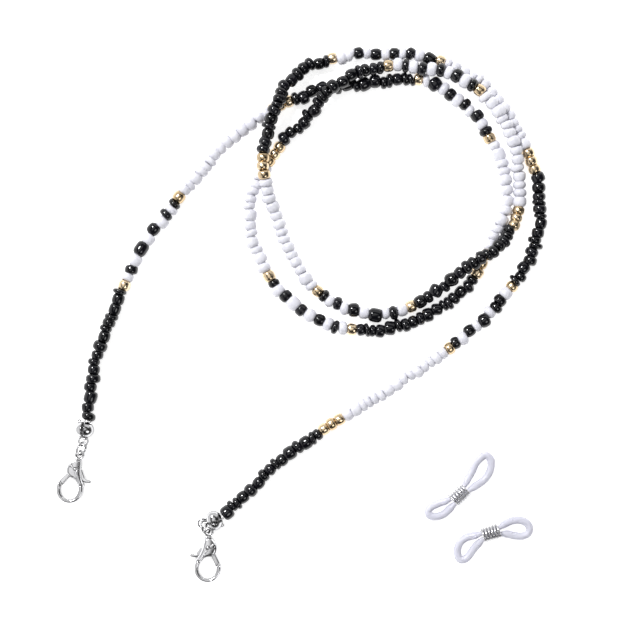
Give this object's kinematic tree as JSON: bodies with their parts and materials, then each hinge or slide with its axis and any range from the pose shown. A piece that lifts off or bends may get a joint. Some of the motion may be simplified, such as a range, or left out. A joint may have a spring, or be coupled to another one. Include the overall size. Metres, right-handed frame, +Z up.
{
  "type": "eyeglass retainer strap",
  "caption": "Beaded eyeglass strap with a lobster clasp at each end, lying in two loose loops, and separate silicone temple connectors cinched by wire coils.",
  "frame": {"origin": "middle of the bounding box's bottom, on the surface the strap lies on", "axes": "+Z up from that surface, +Y along the longer side of the layout, towards the loops"},
  "size_m": [0.1225, 0.1336, 0.0069],
  "materials": {
    "black_beads": "glossy",
    "white_beads": "glossy",
    "striped_beads": "glossy, alternate beads white and black",
    "gold_beads": "polished",
    "thread": "clear nylon",
    "silver": "polished plating",
    "steel": "bright wire",
    "silicone": "translucent satin"
  },
  "bodies": {
    "strand": {"black_beads_1": "black_beads", "striped_beads_1": "striped_beads", "white_beads_1": "white_beads", "gold_beads_1": "gold_beads", "black_beads_2": "black_beads", "striped_beads_2": "striped_beads", "white_beads_2": "white_beads", "gold_beads_2": "gold_beads", "black_beads_3": "black_beads", "striped_beads_3": "striped_beads", "white_beads_3": "white_beads", "gold_beads_3": "gold_beads", "black_beads_4": "black_beads", "striped_beads_4": "striped_beads", "white_beads_4": "white_beads", "gold_beads_4": "gold_beads", "black_beads_5": "black_beads", "striped_beads_5": "striped_beads", "white_beads_5": "white_beads", "gold_beads_5": "gold_beads", "black_beads_6": "black_beads", "striped_beads_6": "striped_beads", "white_beads_6": "white_beads", "gold_beads_6": "gold_beads", "black_beads_7": "black_beads", "striped_beads_7": "striped_beads", "white_beads_7": "white_beads", "gold_beads_7": "gold_beads", "black_beads_8": "black_beads", "thread": "thread", "bead_tip_a": "silver", "knot_a": "thread", "bead_tip_b": "silver", "knot_b": "thread"},
    "ring_a": {"jump_ring_a": "silver"},
    "clasp_a": {"clasp_body_a": "silver", "clasp_rivet_a": "steel", "clasp_spring_a": "steel"},
    "lever_a": {"clasp_lever_a": "silver"},
    "ring_b": {"jump_ring_b": "silver"},
    "clasp_b": {"clasp_body_b": "silver", "clasp_rivet_b": "steel", "clasp_spring_b": "steel"},
    "lever_b": {"clasp_lever_b": "silver"},
    "connector_1": {"silicone_loop_1": "silicone"},
    "connector_coil_1": {"coil_1": "steel"},
    "connector_2": {"silicone_loop_2": "silicone"},
    "connector_coil_2": {"coil_2": "steel"}
  },
  "joints": [
    {"name": "ring_a_lift", "type": "hinge", "parent": "strand", "child": "ring_a", "pos_m": [-0.05473, -0.03277, 0.0021], "axis": [-0.96, 0.2801, 0], "range_deg": [0, 60]},
    {"name": "clasp_a_swing", "type": "hinge", "parent": "ring_a", "child": "clasp_a", "pos_m": [-0.0554, -0.03505, 0.0014], "axis": [0, 0, 1], "range_deg": [-30, 30]},
    {"name": "lever_a_open", "type": "hinge", "parent": "clasp_a", "child": "lever_a", "pos_m": [-0.05635, -0.03863, 0.0014], "axis": [0, 0, 1], "range_deg": [0, 25], "stiffness_Nm_per_rad": 0.002, "springref_deg": -22.92, "deforming": ["clasp_spring_a"]},
    {"name": "ring_b_lift", "type": "hinge", "parent": "strand", "child": "ring_b", "pos_m": [-0.02395, -0.05312, 0.0021], "axis": [-0.8526, -0.5225, 0], "range_deg": [0, 60]},
    {"name": "clasp_b_swing", "type": "hinge", "parent": "ring_b", "child": "clasp_b", "pos_m": [-0.0231, -0.0545, 0.0014], "axis": [0, 0, 1], "range_deg": [-30, 30]},
    {"name": "lever_b_open", "type": "hinge", "parent": "clasp_b", "child": "lever_b", "pos_m": [-0.0233, -0.0582, 0.0014], "axis": [0, 0, -1], "range_deg": [0, 25], "stiffness_Nm_per_rad": 0.002, "springref_deg": -22.92, "deforming": ["clasp_spring_b"]},
    {"name": "connector_1_lift", "type": "slide", "parent": "strand", "child": "connector_1", "axis": [0, 0, 1], "range_m": [0, 0.03]},
    {"name": "coil_1_slide", "type": "slide", "parent": "connector_1", "child": "connector_coil_1", "axis": [0.7349, 0.6782, 0], "range_m": [-0.0015, 0.0015], "deforming": ["silicone_loop_1"]},
    {"name": "connector_2_lift", "type": "slide", "parent": "strand", "child": "connector_2", "axis": [0, 0, 1], "range_m": [0, 0.03]},
    {"name": "coil_2_slide", "type": "slide", "parent": "connector_2", "child": "connector_coil_2", "axis": [0.9603, 0.279, 0], "range_m": [-0.0015, 0.0015], "deforming": ["silicone_loop_2"]}
  ]
}
